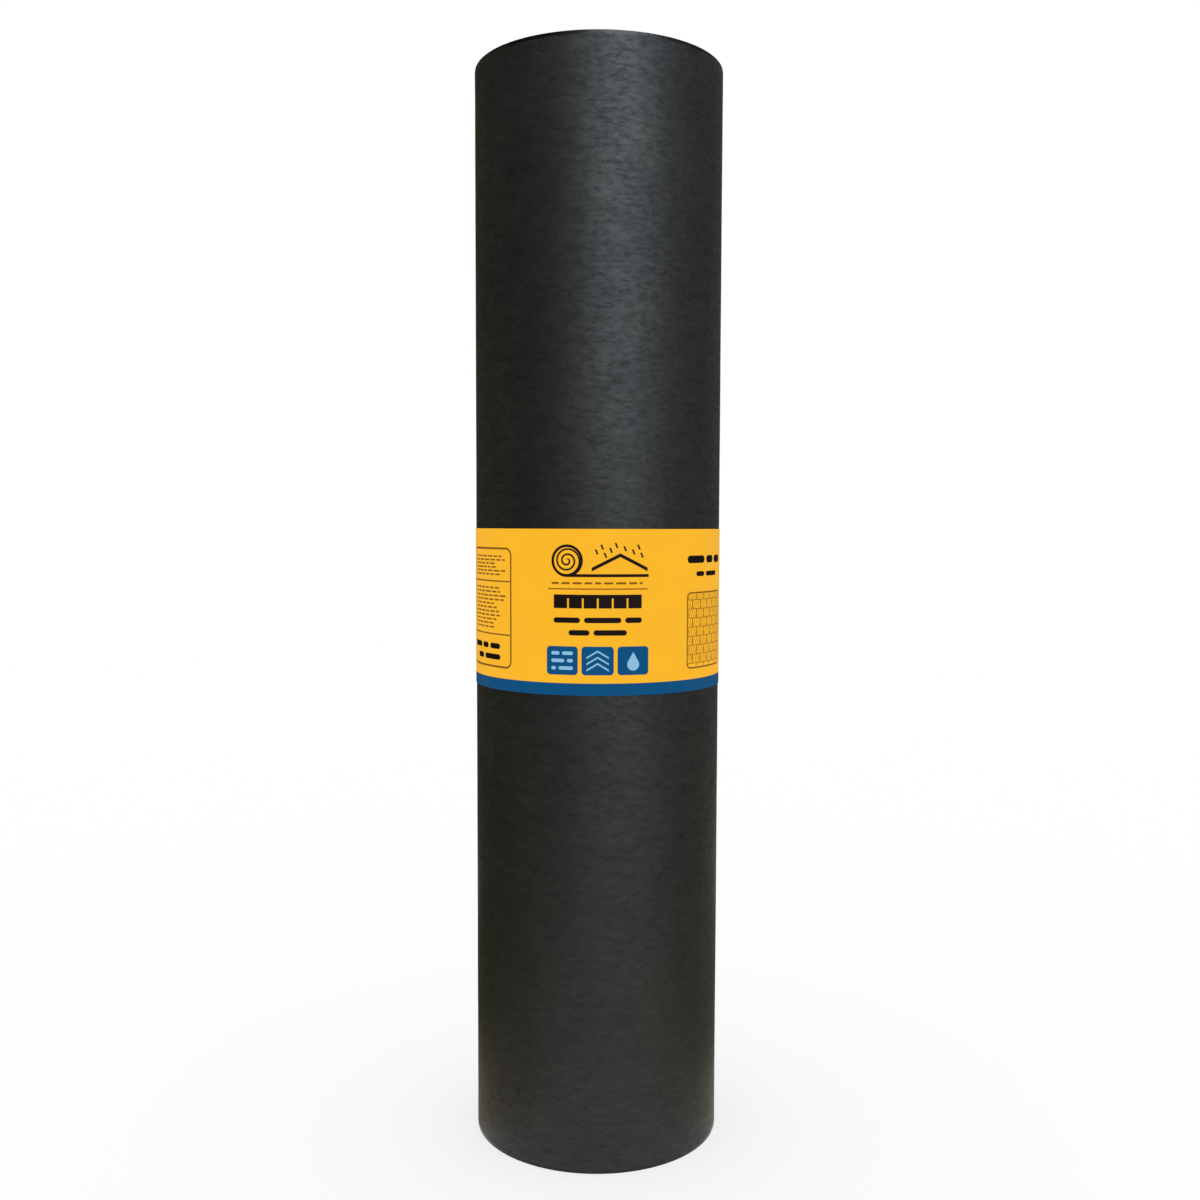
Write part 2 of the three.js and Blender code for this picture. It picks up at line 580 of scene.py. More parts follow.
def kind_of(face, corners, outside):
    """Which part of the sheet's surface a face belongs to."""
    low_and_flat = max(abs(corner.z - face.center.z) for corner in corners) < end_reach
    if low_and_flat and min(face.center.z, sheet_width - face.center.z) < end_reach:
        return "end"
    if abs(face.normal.xy.dot(face.center.xy.normalized())) < 0.5:
        return "edge"
    return "wall" if outside else "bore"


# %% Lay out the roll for baking
WALL_COLUMN = (0, 0.735)
EDGE_COLUMNS = {True: (0.738, 0.742), False: (0.744, 0.748)}  # of the sheet's outer edge and its inner one
LAST_COLUMN = (0.755, 0.995)
END_MIDDLES = {True: 0.875, False: 0.625}  # up the picture, of the top end and of the foot
BORE_ROW = (0.01, 0.49)

end_scale = (LAST_COLUMN[1] - LAST_COLUMN[0]) / (2 * roll_radius)
roll_layout = roll.data.uv_layers[0]
roll_layout.name = "OFBake"
kinds = {"end": 0, "edge": 0, "wall": 0, "bore": 0}
for face in roll.data.polygons:
    corners = [roll.data.vertices[i].co for i in face.vertices]
    outside = face.center.xy.length > (roll_radius + bore_radius) / 2
    kind = kind_of(face, corners, outside)
    kinds[kind] += 1
    middle_behind, _ = winding(face.center)
    for loop, corner in zip(face.loop_indices, corners):
        up = corner.z / sheet_width
        behind, _ = winding(corner)
        behind += round(middle_behind - behind)
        if kind == "end":
            middle_up = END_MIDDLES[face.center.z > half_width]
            uv = (sum(LAST_COLUMN) / 2 + corner.x * end_scale, middle_up + corner.y * end_scale)
        elif kind == "edge":
            depth = roll_radius - corner.xy.length if outside else corner.xy.length - bore_radius
            uv = (between(EDGE_COLUMNS[outside], depth / (2 * pitch)), between(FULL, up))
        elif kind == "wall":
            uv = (between(WALL_COLUMN, behind), between(FULL, up))
        else:
            uv = (between(LAST_COLUMN, behind), between(BORE_ROW, up))
        roll_layout.data[loop].uv = uv
print(kinds)

# %% [markdown]
# ## A short way to write materials
#
# A material is a graph of nodes, and in code each node, setting and link is a line of its own. Two
# small classes make it read like a recipe. A Flow is a socket that gives something out, and adding or
# multiplying Flows adds the Math nodes that do it. A Finish is one material. Its node method adds any
# other node from its type, its settings and what its sockets are given, and its other methods are
# short names for the nodes that are wanted most.

# %% Flow


class Flow:
    """What a socket gives out: a number, a colour or a place. Its operators add Math nodes."""

    def __init__(self, finish, socket):
        self.finish = finish
        self.socket = socket

    def __add__(self, other):
        return self.finish.maths("ADD", self, other)

    def __sub__(self, other):
        return self.finish.maths("SUBTRACT", self, other)

    def __rsub__(self, other):
        return self.finish.maths("SUBTRACT", other, self)

    def __mul__(self, other):
        return self.finish.maths("MULTIPLY", self, other)

    def __truediv__(self, other):
        return self.finish.maths("DIVIDE", self, other)

    def __mod__(self, other):
        return self.finish.maths("FLOORED_MODULO", self, other)

    def __abs__(self):
        return self.finish.maths("ABSOLUTE", self)

    def __lt__(self, other):
        return self.finish.maths("LESS_THAN", self, other)

    def __gt__(self, other):
        return self.finish.maths("GREATER_THAN", self, other)

    __radd__ = __add__
    __rmul__ = __mul__


# %% Finish


class Finish:
    """A material, or the world, and the methods that add nodes to it."""

    def __init__(self, holder):
        holder.use_nodes = True
        self.tree = holder.node_tree
        self.tree.nodes.clear()

    def node(self, kind, settings, sockets, out=0):
        """Adds a node, sets it up, gives its sockets values or links, and returns what it gives out."""
        new = self.tree.nodes.new("ShaderNode" + kind)
        for name, value in settings.items():
            setattr(new, name, value)
        for name, value in sockets.items() if isinstance(sockets, dict) else enumerate(sockets):
            if isinstance(value, Flow):
                self.tree.links.new(value.socket, new.inputs[name])
            else:
                new.inputs[name].default_value = value
        return Flow(self, new.outputs[out]) if new.outputs else None

    def maths(self, operation, *values):
        """A Math node."""
        return self.node("Math", {"operation": operation}, values)

    def lowest(self, value, other):
        """The lower of two numbers."""
        return self.maths("MINIMUM", value, other)

    def highest(self, *values):
        """The highest of some numbers, which joins masks."""
        result = values[0]
        for value in values[1:]:
            result = self.maths("MAXIMUM", result, value)
        return result

    def length(self, along, across):
        """The distance to a place so far along and so far across."""
        return self.maths("SQRT", along * along + across * across)

    def rise(self, value, start, end):
        """A soft step from 0 at the start to 1 at the end."""
        settings = {"interpolation_type": "SMOOTHSTEP"}
        return self.node("MapRange", settings, {"Value": value, "From Min": start, "From Max": end})

    def mix(self, mask, colour, other):
        """The first colour where the mask is 0, and the other one where it is 1."""
        return self.node("Mix", {"data_type": "RGBA"}, {0: mask, 6: colour, 7: other}, out=2)

    def scaled(self, colour, factor):
        """A colour or a place, times a number."""
        return self.node("VectorMath", {"operation": "SCALE"}, {0: colour, "Scale": factor})

    def texture(self, place, scales, sockets, kind="TexNoise", out=0):
        """A texture whose pattern repeats about as often as the scales say, in each direction."""
        stretched = self.node("VectorMath", {"operation": "MULTIPLY"}, [place, scales])
        return self.node(kind, {}, {"Vector": stretched, "Scale": 1, **sockets}, out)

    def relief(self, height):
        """A height in millimetres, turned into bumps for a shader's normal."""
        return self.node("Bump", {}, {"Strength": 1, "Distance": MM, "Height": height})

    def show(self, shader, sockets, output="OutputMaterial"):
        """Adds the shader that all the rest leads to, and the output that shows it."""
        self.node(output, {}, [self.node(shader, {}, sockets)])


# %% New finishes and colours


def new_finish(piece, name):
    """A new material, which becomes the only one of a piece."""
    material = bpy.data.materials.new(name)
    piece.data.materials.clear()
    piece.data.materials.append(material)
    return Finish(material)


def colour(red, green, blue):
    """A colour in the numbers that a paint chart gives, 0 to 255, turned into light."""
    parts = [part / 255 for part in (red, green, blue)]
    light = [part / 12.92 if part < 0.04045 else ((part + 0.055) / 1.055) ** 2.4 for part in parts]
    return (*light, 1)


# %% [markdown]
# ## Bitumen felt
#
# The sheet is matted fibre soaked in bitumen, so it is nearly black, dull, and never quite even. The
# machine drew it through rollers and creped it: it left marks that are longer along the sheet than
# across it, with sharper creases and softer lumps among them. On the standing roll those lie level.
# Under them are a fine grain, broad clouds where the bitumen soaked in more or less and left the felt
# blacker or browner, and a few pits and shiny specks. A texture's scales say how often it repeats in
# a millimetre across, in depth and in height.
#
# The cut ends are rougher and browner, and no two turns of them quite alike, because each took its
# own share of dust. How light a turn is comes from a noise that runs along the wound sheet, as t did
# above: from one turn to the next it changes, and along a turn it stays smooth. A thin, ragged dark
# line runs round both rims of the wall, within a few millimetres of each end.

# %% Textures of the felt
felt = new_finish(roll, "bitumen_felt")
place = felt.scaled(felt.node("TexCoord", {}, {}, out="Object"), 1 / MM)

creped = {"Detail": 2, "Roughness": 0.45, "Distortion": 0.35}
press_marks = felt.texture(place, (0.13, 0.13, 0.3), creped)
folds = felt.texture(place, (0.065, 0.065, 0.2), {"Detail": 1, "Distortion": 0.8})
creases = (1 - felt.rise(abs(folds - 0.5), 0, 0.035)) * felt.rise(press_marks, 0.56, 0.44)
lumps = felt.texture(place, (0.045, 0.045, 0.11), {"Detail": 2, "Roughness": 0.5})
grain = felt.texture(place, (1.1, 1.1, 1.3), {"Detail": 2, "Roughness": 0.6})
soaking = felt.texture(place, (0.017, 0.017, 0.013), {"Detail": 3, "Roughness": 0.55})

FLECK_SCALES = (0.07, 0.07, 0.09)
PITS = 0.35  # of all flecks
SPECKS = 0.2
to_fleck = felt.texture(place, FLECK_SCALES, {}, "TexVoronoi", "Distance")
fleck_colour = felt.texture(place, FLECK_SCALES, {}, "TexVoronoi", "Color")
fleck = 1 - felt.rise(to_fleck, 0.035, 0.09)
fleck_kind = felt.node("SeparateColor", {}, [fleck_colour])
pits = fleck * (fleck_kind < PITS)
specks = fleck * (fleck_kind > 1 - SPECKS)
print(len(felt.tree.nodes), "nodes in the felt's textures")

# %% Where the felt is cut
RIM_LINE = (2.4, 3.8)  # mm from the end, where the line is whole and where it has faded out
END_ZONE = 6  # mm from the end, that its lowest turns and gaps stay within
SKIN = 0.12  # turns in, that the outer wall stays within

x, y, height = [felt.node("SeparateXYZ", {}, [place], out=axis) for axis in "XYZ"]
radius = felt.length(x, y)
behind_edge = (felt.maths("ARCTAN2", y, x) - outer_edge_angle) / math.tau % 1
turns_in = (roll_radius / MM - radius) / (pitch / MM) - behind_edge
along_sheet = felt.maths("FLOOR", turns_in) + behind_edge
tone_sockets = {"W": along_sheet, "Scale": 2.3, "Detail": 2}
turn_tone = felt.node("TexNoise", {"noise_dimensions": "1D"}, tone_sockets)

from_end = felt.lowest(height, sheet_width / MM - height)
on_end = (turns_in > SKIN) * (from_end < END_ZONE)
ragged_from_end = from_end + 1.2 * (grain - 0.5) + 1.6 * (soaking - 0.5)
# A thin, ragged dark line within a few millimetres of each end of the wall.
rim = 1 - felt.rise(ragged_from_end, *RIM_LINE)
print(f"{turn_count:.1f} turns on the ends")

# %% [markdown]
# The pressed marks are darker and lighter, and they stand in relief, but most of all they shine more
# and less. A roughness that varies would show that only in the middle of the sheen. So a thin dull
# coat carries it: where its weight is higher, the felt is brighter wherever a light is mirrored in it.
# Near the foot, dust calms the marks. The cut ends have no coat.

# %% The felt's finish
DUSTY_FOOT = (60, 460)  # mm over the floor, between which dust stops dulling the marks
FELT_BLACK = colour(22, 22, 22)
FELT_BROWN = colour(28, 27, 23)
END_COLOUR = colour(33, 30, 26)
RIM_COLOUR = colour(5, 5, 4)

soaked = felt.mix(felt.rise(soaking, 0.38, 0.68), FELT_BROWN, FELT_BLACK)
crisp = 0.45 + 0.55 * felt.rise(height, *DUSTY_FOOT)
# The felt's own uneven tone, with painted shade: the creases and the pits are drawn darker in colour,
# besides their relief.
tone_and_shade = 1 + 0.4 * (press_marks - 0.5) + crisp * (lumps - 0.5) + 0.25 * (grain - 0.5) - 0.25 * creases
tone_and_shade = tone_and_shade * (1 - 0.6 * pits) + 1.4 * specks
tone_and_shade = tone_and_shade * (1 + on_end * (1.3 * turn_tone - 0.65))
cut_or_not = felt.mix(on_end, felt.mix(rim, soaked, RIM_COLOUR), END_COLOUR)
surface_colour = felt.scaled(cut_or_not, tone_and_shade)
shine = 0.24 + crisp * (0.85 * (press_marks - 0.5) + 0.15 * (lumps - 0.5)) - 0.08 * creases
shine = felt.highest(shine, 0) * (1 - on_end)
dullness = 0.54 + 0.15 * (soaking - 0.5) - 0.1 * (press_marks - 0.5) - 0.05 * (lumps - 0.5)
dullness = dullness + 0.06 * creases - 0.28 * rim + 0.3 * on_end + 0.25 * pits - 0.15 * specks
relief = 0.24 * press_marks + 0.1 * lumps + 0.02 * grain - 0.1 * creases - 0.18 * pits + 0.06 * specks
felt_sockets = {
    "Base Color": surface_colour,
    "Roughness": dullness,
    "Specular IOR Level": 0.29,
    "Coat Weight": shine,
    "Coat Roughness": 0.54,
    "Normal": felt.relief(relief),
}
felt.show("BsdfPrincipled", felt_sockets)
print(len(felt.tree.nodes), "nodes in the felt's finish")

# %% [markdown]
# ## The printed paper
#
# A mill prints its bands in two or three inks, and repeats the same design round the roll, so that one
# copy always faces the shop. Drawn with maths instead of a picture, the design stays sharp at any
# size. Each shape is the distance to its outline, in millimetres along the paper, and a soft step at
# zero turns that into ink.
#
# There is nothing to read on this band. Where a real one has its writing, plain bars stand in rows,
# and the rest is simple signs of what the roll is for.

# %% Places on the paper, and ink outlines
paper = new_finish(band, "printed_paper")
on_paper = paper.scaled(paper.node("UVMap", {"uv_map": "Print"}, {}), 1 / MM)
u_wound, v = [paper.node("SeparateXYZ", {}, [on_paper], out=axis) for axis in "XY"]

REPEAT = 335.5  # mm, so that two copies go round
u = (u_wound + REPEAT / 2) % REPEAT - REPEAT / 2
INK_EDGE = 0.35  # mm over which ink fades out at an outline


def ink(distance):
    """Ink inside an outline, from the distance to it: 1 inside and 0 outside."""
    return 1 - paper.rise(distance, -INK_EDGE / 2, INK_EDGE / 2)


def box(middle_u, middle_v, width, tall, corner=0.0):
    """The distance to a box's outline, with its corners rounded by a radius."""
    past_u = abs(u - middle_u) - (width / 2 - corner)
    past_v = abs(v - middle_v) - (tall / 2 - corner)
    within = paper.highest(past_u, past_v)
    if not corner:
        return within
    beyond = paper.length(paper.highest(past_u, 0), paper.highest(past_v, 0))
    return beyond + paper.lowest(within, 0) - corner


# %% Bars in place of writing


def chance(row, seed):
    """A random number between 0 and 1 for each whole row."""
    row_and_seed = paper.node("CombineXYZ", {}, [row, 0.5, seed])
    return paper.node("TexWhiteNoise", {"noise_dimensions": "3D"}, {"Vector": row_and_seed})


def bars(left, right, low, high, rows, longest, seed, filled, ragged=0.3):
    """Rows of plain round-ended bars, in uneven lengths, with ragged right ends."""
    pace = (high - low) / rows
    thick = pace * filled
    row = paper.maths("FLOOR", (v - low) / pace)
    off_row = abs((v - low) / pace - row - 0.5) * pace
    cells = {"voronoi_dimensions": "1D", "feature": "DISTANCE_TO_EDGE"}
    along = {"W": (u - left) / longest + 7.3 * row + seed, "Scale": 1, "Randomness": 0.7}
    to_gap = paper.node("TexVoronoi", cells, along, out="Distance") * longest - thick * 0.6
    row_end = right - (right - left) * ragged * chance(row, seed)
    to_end = paper.lowest(paper.lowest(u - left, row_end - u), to_gap)
    past_end = paper.highest(thick / 2 - to_end, 0)
    return ink(paper.length(past_end, off_row) - thick / 2) * (v > low) * (v < high)


def bar_row(middle_u, middle_v, thick, lengths, gap=3.2):
    """Ink in a row of plain round-ended bars of the given lengths."""
    left = middle_u - (sum(lengths) + gap * (len(lengths) - 1)) / 2
    past_end = None
    for length in lengths:
        past = abs(u - left - length / 2) - (length - thick) / 2
        past_end = past if past_end is None else paper.lowest(past_end, past)
        left += length + gap
    return ink(paper.length(paper.highest(past_end, 0), v - middle_v) - thick / 2)


# %% [markdown]
# The middle block faces the shop: a roll with its loose end, beside it a roof in the rain, then fine
# bars, a thin rule, a strip of shingles, two rows of bars and three blue chips. On its left a frame
# holds rows of fine bars, and on its right another holds courses of shingles. A blue stripe runs along
# the lower edge. All places are in millimetres from the middle of the front and from the lower edge.

# %% The roll's sign
ROLL_SIGN = (-25, 108)
SIGN_RADIUS = 13
SIGN_RIM = 2.2  # the outer ring's thickness
SIGN_PITCH = 4.1
SIGN_LINE = 1.5  # the wound line's thickness

out_u, out_v = u - ROLL_SIGN[0], v - ROLL_SIGN[1]
out_from_sign = paper.length(out_u, out_v)
sign_turn = paper.maths("ARCTAN2", out_v, out_u) / math.tau
off_rim = abs(out_from_sign - (SIGN_RADIUS - SIGN_RIM / 2))
wound_line = abs((out_from_sign / SIGN_PITCH + sign_turn) % 1 - 0.5) * SIGN_PITCH - SIGN_LINE / 2
print(len(paper.tree.nodes), "nodes so far")

# %% The roof and the rain
ROOF_MIDDLE = 18
ROOF_TOP = 112.5
ROOF_SLOPE = 0.5
ROOF_REACH = 23  # from its middle to an eave
RAIN_SLANT = 0.4
RAIN_PACE = 6  # from one column of drops to the next
RAIN_FALL = 6.5  # from one drop to the next below it
RAIN_STAGGER = 2.6  # from a drop down to its neighbour
DROP = (1.6, 4)  # a drop's thickness and length
SKY = (5.5, 121)  # how high over the roof the rain ends, and how high on the paper it begins

off_middle = abs(u - ROOF_MIDDLE)
over_roof = v - (ROOF_TOP - ROOF_SLOPE * off_middle)
under_eaves = ink(off_middle - ROOF_REACH)

slant = u + RAIN_SLANT * v
rain_column = paper.maths("FLOOR", slant / RAIN_PACE)
falling = (v + RAIN_STAGGER * rain_column) % RAIN_FALL
drop_v = v - falling + RAIN_FALL / 2
drop_u = (rain_column + 0.5) * RAIN_PACE - RAIN_SLANT * drop_v
drop_off_middle = abs(drop_u - ROOF_MIDDLE)
clear_of_roof = drop_v + ROOF_SLOPE * drop_off_middle > ROOF_TOP + SKY[0]
in_sky = clear_of_roof * (drop_v < SKY[1]) * (drop_off_middle < ROOF_REACH - 2)
off_column = abs(slant % RAIN_PACE - RAIN_PACE / 2)
off_drop = abs(falling - RAIN_FALL / 2)
rain = ink(off_column - DROP[0] / 2) * ink(off_drop - DROP[1] / 2)
print(len(paper.tree.nodes), "nodes so far")

# %% The strip of shingles, and all that is black
STRIP = (0, 75.5, 72, 11)
STRIP_HEAD = 78  # above which the strip isn't slotted
SLOT_PACE = 12
SLOT = 1.4

off_tab = abs((u - STRIP[2] / 2) % SLOT_PACE - SLOT_PACE / 2)
tabs = ink(off_tab - SLOT_PACE / 2 + SLOT / 2)
solid_strip = paper.highest(tabs, ink(STRIP_HEAD - v), ink(STRIP[2] / 2 - 2 - abs(u)))
black_shapes = [
    ink(off_rim - SIGN_RIM / 2),
    ink(wound_line) * ink(out_from_sign - SIGN_RADIUS + 2) * ink(1.2 - out_from_sign),
    ink(box(8.5, 96.2, 67, 2.4)),
    under_eaves * ink(abs(over_roof) - 1.5),
    rain * in_sky,
    ink(box(*STRIP, 0.8)) * solid_strip,
    bar_row(0, 60.5, 4.4, (22, 30, 14)),
    bar_row(0, 50.5, 4.4, (17, 27)),
    bar_row(111.5, 108.5, 6.2, (24, 13, 17)),
    bar_row(111.5, 96.5, 4, (12, 22)),
    bar_row(-118, 36, 4.6, (20, 11, 15)),
    bar_row(-112, 27, 4.6, (13, 25)),
]
print(len(black_shapes), "black shapes")

# %% The frames, rules and fine bars in brown
COURSE = 7.5  # from one course of shingles to the next
SHINGLE = 11
JOINT = 1.0
LEFT_FRAME = (-113, 68, 70, 98)  # a box's middle, width and height
LEFT_RULES = (90, 46)  # up the frame
LEFT_TEXT = (-142, -84)  # where its bars begin and end
RIGHT_FRAME = (111.5, 50, 60, 62)
WOOD_GRAIN = 2.4  # from one line to the next
PLAIN_COURSES = 0.3  # of all, that have no grain

course = paper.maths("FLOOR", v / COURSE)
shingle = (u + course * SHINGLE / 2) % SHINGLE
level_joints = ink(abs(v - course * COURSE) - JOINT / 2)
upright_joints = ink(abs(shingle - SHINGLE / 2) - JOINT / 2)
joints = paper.highest(level_joints, upright_joints)
off_grain = abs((u * 0.9 + v * 0.35) % WOOD_GRAIN - WOOD_GRAIN / 2)
grain_lines = ink(off_grain - 0.35) * (chance(course, 53) > PLAIN_COURSES)
inside_frame = ink(box(*RIGHT_FRAME, 3) + 1)
brown_shapes = [
    ink(box(0, 85.5, 82, 1.0)),
    bars(-38, 38, 88.4, 91.8, 1, 9, 47, filled=0.5, ragged=0.03),
    ink(abs(box(*LEFT_FRAME, 6)) - 0.85),
    *(ink(box(LEFT_FRAME[0], rule, LEFT_FRAME[2] - 2, 1.2)) for rule in LEFT_RULES),
    bars(*LEFT_TEXT, 94, 112, 6, 9, 41, filled=0.45),
    bars(*LEFT_TEXT, 50, 86, 11, 9, 43, filled=0.42),
    ink(abs(box(*RIGHT_FRAME, 4)) - 0.65),
    inside_frame * paper.highest(joints, 0.7 * grain_lines),
]
print(len(brown_shapes), "brown shapes")

# %% The chips and the stripe in blue, and the pale signs
STRIPE_HEIGHT = 9.8
CHIP_PLACES = (-29, 0, 29)
CHIP_HEIGHT = 28  # of their middles
CHEVRON_PACE = 5
CHEVRON_TOPS = (25.7, 35.7)  # of the lowest and the highest
CHEVRON_SLOPE = 0.6
CHEVRON_LINE = 1.5
DRIP_MIDDLE = (29, 25)
DRIP_RADIUS = 5

blue_shapes = [ink(box(chip, CHIP_HEIGHT, 26, 23, 3)) for chip in CHIP_PLACES]
blue_shapes.append(ink(v - STRIPE_HEIGHT))
chevron_top = abs(u) * CHEVRON_SLOPE + v
to_chevron = (chevron_top - CHEVRON_TOPS[0] + CHEVRON_PACE / 2) % CHEVRON_PACE - CHEVRON_PACE / 2
chevron_lines = ink(abs(to_chevron) - CHEVRON_LINE / 2)
three_of_them = (chevron_top > CHEVRON_TOPS[0] - 2) * (chevron_top < CHEVRON_TOPS[1] + 2)
drip_u, drip_v = abs(u - DRIP_MIDDLE[0]), v - DRIP_MIDDLE[1]
drip_round = paper.length(drip_u, drip_v) - DRIP_RADIUS
drip_point = paper.highest(0.86 * drip_u + 0.5 * drip_v - DRIP_RADIUS, 0.58 * drip_u - drip_v)
pale_shapes = [
    bar_row(CHIP_PLACES[0], CHIP_HEIGHT + 6, 2.8, (7, 9), 2.2),
    bar_row(CHIP_PLACES[0], CHIP_HEIGHT, 2.8, (11, 5), 2.2),
    bar_row(CHIP_PLACES[0], CHIP_HEIGHT - 6, 2.8, (4, 12), 2.2),
    chevron_lines * ink(box(CHIP_PLACES[1], CHIP_HEIGHT, 18, 23)) * three_of_them,
    paper.highest(ink(drip_round), ink(drip_point)),
]
print(len(blue_shapes), "blue shapes and", len(pale_shapes), "pale ones")

# %% [markdown]
# The inks go on one over the other: blue, the pale signs on it, then brown and black. The paper under
# them is smooth, so its fibres show only faintly, as does the mottle that bitumen dust and hands leave
# on it. Where the strip goes under its own end, the step is too thin to see, so a painted shadow line,
# with some dust in it, runs along it. The paper is thin and drawn tight, and over the soft felt it
# puckers a little.

# %% The printed paper's finish
PAPER_YELLOW = colour(252, 184, 38)
INK_BLUE = colour(2, 78, 125)
INK_PALE = colour(140, 190, 222)
INK_BROWN = colour(92, 50, 14)
INK_BLACK = colour(26, 16, 12)
LAP_LINE = 0.6  # mm, half the width of the shade along the lap

fibres = paper.texture(on_paper, (0.5, 0.9, 1), {"Detail": 4, "Roughness": 0.65})
handling = paper.texture(on_paper, (0.02, 0.03, 1), {"Detail": 3, "Roughness": 0.6})
puckers = paper.texture(on_paper, (0.016, 0.05, 1), {"Detail": 2, "Roughness": 0.4})

printed = paper.mix(paper.highest(*blue_shapes), PAPER_YELLOW, INK_BLUE)
printed = paper.mix(paper.highest(*pale_shapes), printed, INK_PALE)
printed = paper.mix(0.85 * paper.highest(*brown_shapes), printed, INK_BROWN)
printed = paper.mix(paper.highest(*black_shapes), printed, INK_BLACK)
lap_edge = (strip_start + math.tau - FRONT) * roll_radius / MM  # where the strip goes under its own end
# Painted shadow, with some dust, along the edge where the strip goes under its own end.
lap_shadow_and_dust = ink(abs(u_wound - lap_edge + LAP_LINE) - LAP_LINE)
wear_and_lap_shade = 1 + 0.08 * (fibres - 0.5) + 0.1 * (handling - 0.5) - 0.35 * lap_shadow_and_dust
printed = paper.scaled(printed, wear_and_lap_shade)
dullness = 0.62 + 0.2 * (fibres - 0.5) + 0.25 * (handling - 0.5)
paper_sockets = {
    "Base Color": printed,
    "Roughness": dullness,
    "Specular IOR Level": 0.06,
    "Normal": paper.relief(0.02 * fibres + 0.5 * puckers),
}
paper.show("BsdfPrincipled", paper_sockets)
print(len(paper.tree.nodes), "nodes in the paper's finish")

# %% [markdown]
# ## What the pieces stand for
#
# The wound sheet takes the place of the imported roll, and the strip that of the imported band. Both move
# with the part's one body.

# %% Attach the pieces to the body and hide the imported ones
for piece, node, slot in ((roll, "felt_roll", "felt"), (band, "paper_band", "band_paper")):
    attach(piece, "root")
    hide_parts(node)
print("pieces:", roll.name, band.name)

# %% [markdown]
# ## The studio
#
# The roll stands on a plain white floor that runs out of sight, under an even white sky. The floor is a
# light table: it glows with most of its white by itself and returns only a part of the sky's light.
# So it is as white as the sky from every side, the soft shadow at the foot of the roll stays visible on
# it, and a colour on the roll comes out as it is written.

# %% Floor and sky
FLOOR_SIZE = 60
FLOOR_SHARE = 0.35  # of the floor's white that it returns from the sky
WHITE = (1, 1, 1, 1)

bpy.ops.object.select_all(action="DESELECT")
bpy.ops.mesh.primitive_plane_add(size=FLOOR_SIZE, location=(0, 0, 0))
floor = bpy.context.object
floor.name = "floor"
floor_sockets = {
    "Base Color": (FLOOR_SHARE, FLOOR_SHARE, FLOOR_SHARE, 1),
    "Roughness": 0.9,
    "Specular IOR Level": 0,
    "Emission Color": WHITE,
    "Emission Strength": 1 - FLOOR_SHARE,
}
new_finish(floor, "floor_white").show("BsdfPrincipled", floor_sockets)
floor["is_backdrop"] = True

world = bpy.data.worlds.new("sky")
bpy.context.scene.world = world
Finish(world).show("Background", {"Color": WHITE, "Strength": 1}, "OutputWorld")
world.cycles.sampling_method = "NONE"  # an even sky has no bright place to look for
print("floor and sky are white")

# %% [markdown]
# A dull black thing shows its shape by its sheen. One large soft window draws a broad sheen down the
# side that faces it, and cards keep the rest of the white room out of it. Some stand on both sides and
# reach round behind. Others lie on the floor: pale and warm ones near the foot, where the felt mirrors
# the floor that it stands on, and darker ones further out. The window and the cards only matter to
# glossy surfaces, so the print has the same colours all round. The camera doesn't see the cards.

# %% Window
WINDOW_SIZE = (1.13, 1.5)
WINDOW_PLACE = (20.8, 1.25, 1.45)  # degrees from the front, distance, height over the floor
WINDOW_AIM = Vector((0, 0, 0.75))
WINDOW_WATTS = 22
WINDOW_COLOUR = (0.74, 0.9, 1)


def place_around(degrees, distance, height):
    """A place round the roll, turned from the front towards the right."""
    turn = math.radians(degrees)
    return Vector((distance * math.sin(turn), -distance * math.cos(turn), height))


window_data = bpy.data.lights.new("window", "AREA")
window_data.shape = "RECTANGLE"
window_data.size, window_data.size_y = WINDOW_SIZE
window_data.energy = WINDOW_WATTS
window_data.color = WINDOW_COLOUR
window = bpy.data.objects.new("window", window_data)
bpy.context.collection.objects.link(window)
window.location = place_around(*WINDOW_PLACE)
window.rotation_euler = (WINDOW_AIM - window.location).to_track_quat("-Z", "Y").to_euler()
window.visible_diffuse = False
print("window:", [round(n, 2) for n in window.location])

# %% Cards
CARD_DISTANCE = 0.75
CARD_HEIGHT = 1.8
LYING_SIZE = (0.9, 0.8)
STANDING = {  # degrees from the front, width, colour
    "left": (-52, 1.25, colour(0, 0, 0)),
    "left_back": (-114, 1.55, colour(88, 89, 60)),
    "right": (103, 2.2, colour(114, 114, 110)),
}
LYING = {  # degrees from the front, how near the axis it begins, height over the floor, colour
    "left_near": (-105, 0.1, 1 * MM, colour(210, 200, 166)),
    "right_near": (105, 0.1, 1 * MM, colour(238, 240, 212)),
    "left_low": (-105, 0.23, 2 * MM, colour(97, 96, 56)),
    "front_low": (0, 0.42, 2 * MM, colour(168, 168, 164)),
    "right_low": (105, 0.2, 2 * MM, colour(127, 127, 108)),
}


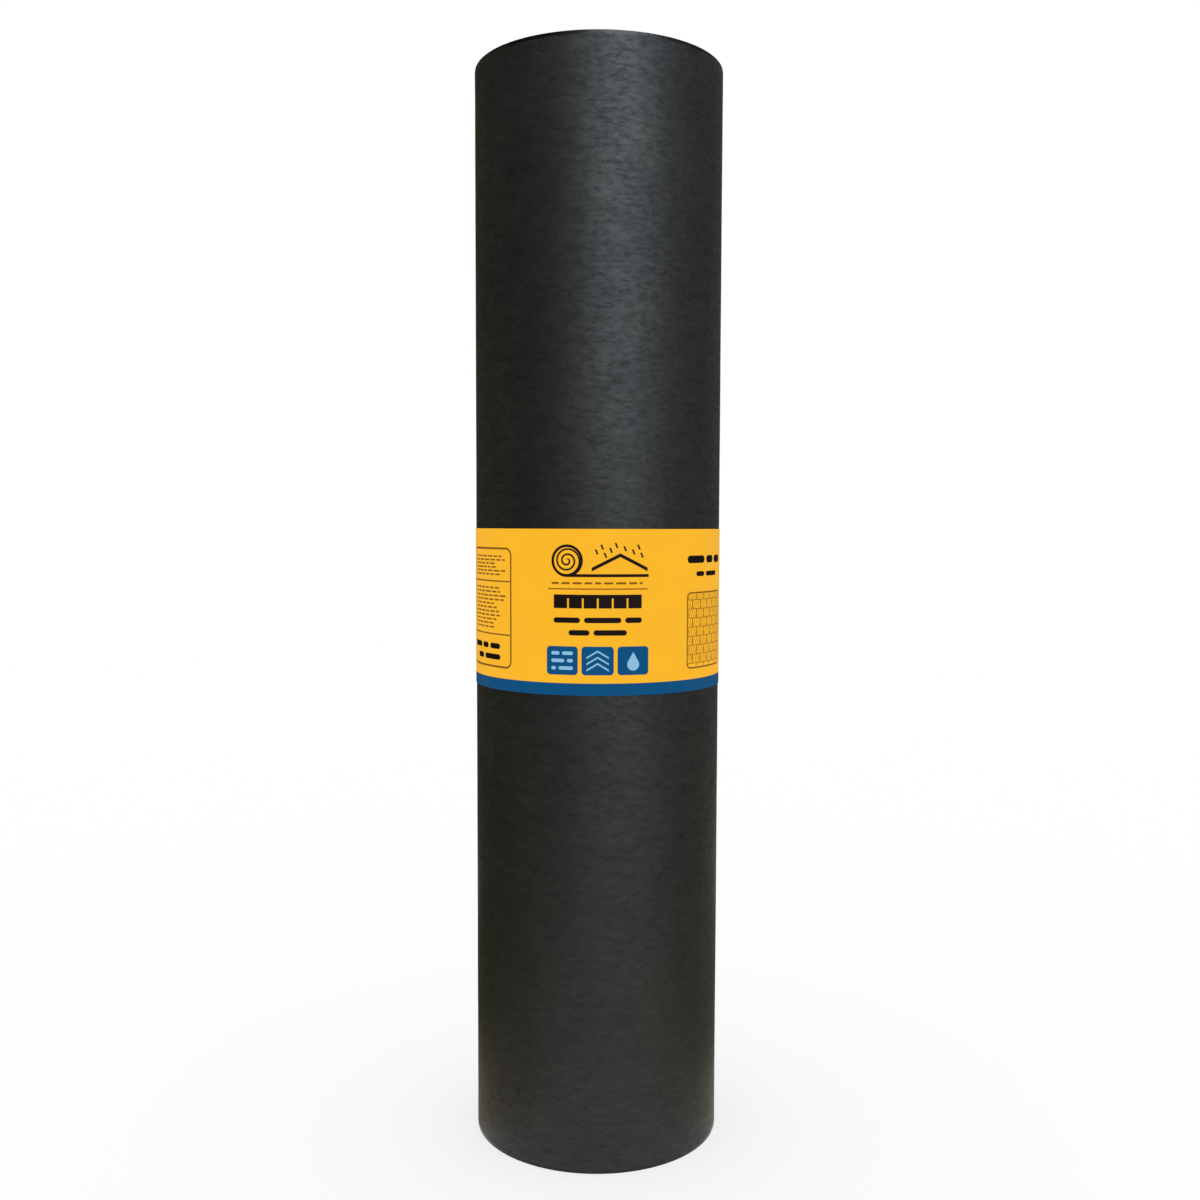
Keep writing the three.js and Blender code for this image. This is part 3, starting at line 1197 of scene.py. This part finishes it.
def add_card(name, place, size, rotation, shade):
    """Adds a card that only glossy surfaces see, and that they see in one even colour."""
    bpy.ops.mesh.primitive_plane_add(size=1, location=place, rotation=rotation)
    card = bpy.context.object
    card.name = f"card_{name}"
    card.scale = (*size, 1)
    new_finish(card, card.name).show("Emission", {"Color": shade, "Strength": 1})
    card.visible_camera = False
    card.visible_diffuse = False
    card.visible_shadow = False
    card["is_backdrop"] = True


for name, (degrees, width, shade) in STANDING.items():
    middle = place_around(degrees, CARD_DISTANCE, CARD_HEIGHT / 2)
    add_card(name, middle, (width, CARD_HEIGHT), (math.pi / 2, 0, math.radians(degrees)), shade)
for name, (degrees, inner, lift, shade) in LYING.items():
    middle = place_around(degrees, inner + LYING_SIZE[1] / 2, lift)
    add_card(name, middle, LYING_SIZE, (0, 0, math.radians(degrees)), shade)
print(len(STANDING) + len(LYING), "cards")

# %% [markdown]
# ## The camera
#
# It stands a little over a metre in front of the roll, somewhat above its middle, looking slightly
# down, as someone does who picks a roll at a shop.

# %% Camera
CAMERA_PLACE = (0.0016, -1.1329, 0.5315)
CAMERA_DOWN = 0.0646  # radians, as is its roll
CAMERA_ROLL = -0.0028
CAMERA_LENS = 38.757  # mm, before a film 36 mm wide
CAMERA_SHIFT = 0.0068  # of the film's width

camera_data = bpy.data.cameras.new("camera")
camera_data.lens = CAMERA_LENS
camera_data.shift_y = CAMERA_SHIFT
camera = bpy.data.objects.new("camera", camera_data)
bpy.context.collection.objects.link(camera)
camera.location = CAMERA_PLACE
camera.rotation_euler = (math.pi / 2 - CAMERA_DOWN, CAMERA_ROLL, 0)
bpy.context.scene.camera = camera
bpy.context.scene.view_settings.view_transform = "Standard"
print("camera:", CAMERA_PLACE)

# %% [markdown]
# ## The sizes
#
# Both boxes, the imported model's and the pieces', are printed side by side. The pieces may
# not outgrow the imported model.

# %% Sizes
low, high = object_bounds()
sizes = {"cad": [list(cad_low), list(cad_high)], "visual": [list(low), list(high)]}
for name, corners in sizes.items():
    print(name, [round(n, 4) for corner in corners for n in corner])
